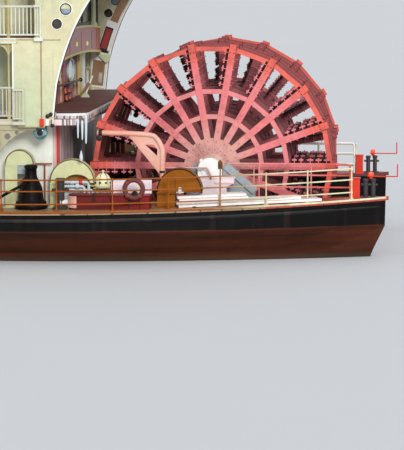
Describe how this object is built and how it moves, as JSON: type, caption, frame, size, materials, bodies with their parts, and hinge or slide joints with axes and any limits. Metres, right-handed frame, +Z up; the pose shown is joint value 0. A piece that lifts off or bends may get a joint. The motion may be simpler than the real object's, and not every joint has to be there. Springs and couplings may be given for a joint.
{
  "type": "stern-wheel paddle steamer, half-size model",
  "caption": "River paddle steamer with a stern wheel between side decks, hollow cabins on stacked decks, twin chimneys, rudders, capstans, davits and a landing stage.",
  "frame": {"origin": "amidships on the centreline, at the waterline", "axes": "+X aft, +Y to starboard, +Z up"},
  "size_m": [38.3, 7.92, 12.3],
  "materials": {
    "hull_black": "gloss",
    "deck_red": "matte",
    "cream_paint": "satin",
    "white_paint": "satin",
    "wheel_red": "satin",
    "door_red": "satin",
    "rust_red": "matte",
    "brown_paint": "satin",
    "black_iron": "satin",
    "grey_iron": "satin",
    "rail_paint": "gloss",
    "davit_paint": "satin"
  },
  "bodies": {
    "boat": {"hull": "hull_black", "main_deck": "deck_red", "main_house": "white_paint", "boiler_house": "cream_paint", "cabin_house": "cream_paint", "texas_house": "cream_paint", "pilothouse": "cream_paint", "boiler_deck": "cream_paint", "cabin_deck": "cream_paint", "hurricane_deck": "cream_paint", "texas_roof": "cream_paint", "pilothouse_roof": "cream_paint", "screen_port": "cream_paint", "screen_starboard": "cream_paint", "main_rail_port": "rail_paint", "main_rail_starboard": "rail_paint", "well_rail_port": "wheel_red", "well_rail_starboard": "wheel_red", "boiler_gallery_port": "white_paint", "boiler_gallery_starboard": "white_paint", "cabin_gallery_port": "white_paint", "cabin_gallery_starboard": "white_paint", "guard_posts_port": "white_paint", "guard_posts_starboard": "white_paint", "hurricane_rail": "white_paint", "chimney_port": "black_iron", "chimney_starboard": "black_iron", "chimney_brace": "black_iron", "bearing_port": "white_paint", "bearing_starboard": "white_paint", "vent_small_port": "cream_paint", "vent_small_starboard": "cream_paint", "vent_large_port": "cream_paint", "vent_large_starboard": "cream_paint", "vent_brown_port": "brown_paint", "bitts_aft_port": "grey_iron", "bitts_aft_starboard": "grey_iron", "bitts_fore": "grey_iron", "locker_port": "rust_red", "locker_starboard": "rust_red", "fore_stair": "white_paint", "engine_block": "grey_iron"},
    "paddle_wheel": {"wheel_shaft": "rust_red", "wheel_frame_port": "wheel_red", "wheel_frame_starboard": "wheel_red", "wheel_paddles_port": "wheel_red", "wheel_paddles_starboard": "wheel_red"},
    "port_rudder": {"rudder_port": "black_iron"},
    "starboard_rudder": {"rudder_starboard": "black_iron"},
    "port_capstan": {"capstan_port": "black_iron"},
    "starboard_capstan": {"capstan_starboard": "black_iron"},
    "fore_capstan": {"capstan_fore": "black_iron"},
    "port_davit": {"davit_port": "davit_paint"},
    "starboard_davit": {"davit_starboard": "davit_paint"},
    "derrick": {"derrick": "white_paint"},
    "stage": {"landing_stage": "white_paint"},
    "port_aft_door": {"aft_door_port": "door_red"},
    "starboard_aft_door": {"aft_door_starboard": "door_red"},
    "port_pilothouse_door": {"pilothouse_door_port": "door_red"},
    "starboard_pilothouse_door": {"pilothouse_door_starboard": "door_red"}
  },
  "joints": [
    {"name": "wheel_spin", "type": "hinge", "parent": "boat", "child": "paddle_wheel", "pos_m": [14.2, 0, 1.53], "axis": [0, 1, 0], "continuous": true},
    {"name": "port_rudder_turn", "type": "hinge", "parent": "boat", "child": "port_rudder", "pos_m": [10.8, -1.3, -0.56], "axis": [0, 0, 1], "range_deg": [-35, 35]},
    {"name": "starboard_rudder_turn", "type": "hinge", "parent": "boat", "child": "starboard_rudder", "pos_m": [10.8, 1.3, -0.56], "axis": [0, 0, 1], "range_deg": [-35, 35]},
    {"name": "port_capstan_spin", "type": "hinge", "parent": "boat", "child": "port_capstan", "pos_m": [11.2, -3.42, 0.9], "axis": [0, 0, 1], "continuous": true},
    {"name": "starboard_capstan_spin", "type": "hinge", "parent": "boat", "child": "starboard_capstan", "pos_m": [11.2, 3.42, 0.9], "axis": [0, 0, 1], "continuous": true},
    {"name": "fore_capstan_spin", "type": "hinge", "parent": "boat", "child": "fore_capstan", "pos_m": [-16.5, 0, 1.2], "axis": [0, 0, 1], "continuous": true},
    {"name": "port_davit_swing", "type": "hinge", "parent": "boat", "child": "port_davit", "pos_m": [13.4, -2.85, 0.95], "axis": [0, 0, 1], "range_deg": [0, 150]},
    {"name": "starboard_davit_swing", "type": "hinge", "parent": "boat", "child": "starboard_davit", "pos_m": [13.4, 2.85, 0.95], "axis": [0, 0, -1], "range_deg": [0, 150]},
    {"name": "derrick_swing", "type": "hinge", "parent": "boat", "child": "derrick", "pos_m": [-14.7, 0, 1.2], "axis": [0, 0, 1], "range_deg": [-60, 60]},
    {"name": "stage_tilt", "type": "hinge", "parent": "derrick", "child": "stage", "pos_m": [-18.65, 0, 4.45], "axis": [0, 1, 0], "range_deg": [-6, 6]},
    {"name": "port_aft_door_swing", "type": "hinge", "parent": "boat", "child": "port_aft_door", "pos_m": [11.29, -1.15, 3], "axis": [0, 0, 1], "range_deg": [0, 110]},
    {"name": "starboard_aft_door_swing", "type": "hinge", "parent": "boat", "child": "starboard_aft_door", "pos_m": [11.29, 1.15, 3], "axis": [0, 0, -1], "range_deg": [0, 110]},
    {"name": "port_pilothouse_door_swing", "type": "hinge", "parent": "boat", "child": "port_pilothouse_door", "pos_m": [-6.75, -1.05, 6.8], "axis": [0, 0, -1], "range_deg": [0, 110]},
    {"name": "starboard_pilothouse_door_swing", "type": "hinge", "parent": "boat", "child": "starboard_pilothouse_door", "pos_m": [-6.75, 1.05, 6.8], "axis": [0, 0, 1], "range_deg": [0, 110]}
  ],
  "couplings": [
    {"joint": "starboard_rudder_turn", "follows": "port_rudder_turn", "ratio": 1}
  ]
}
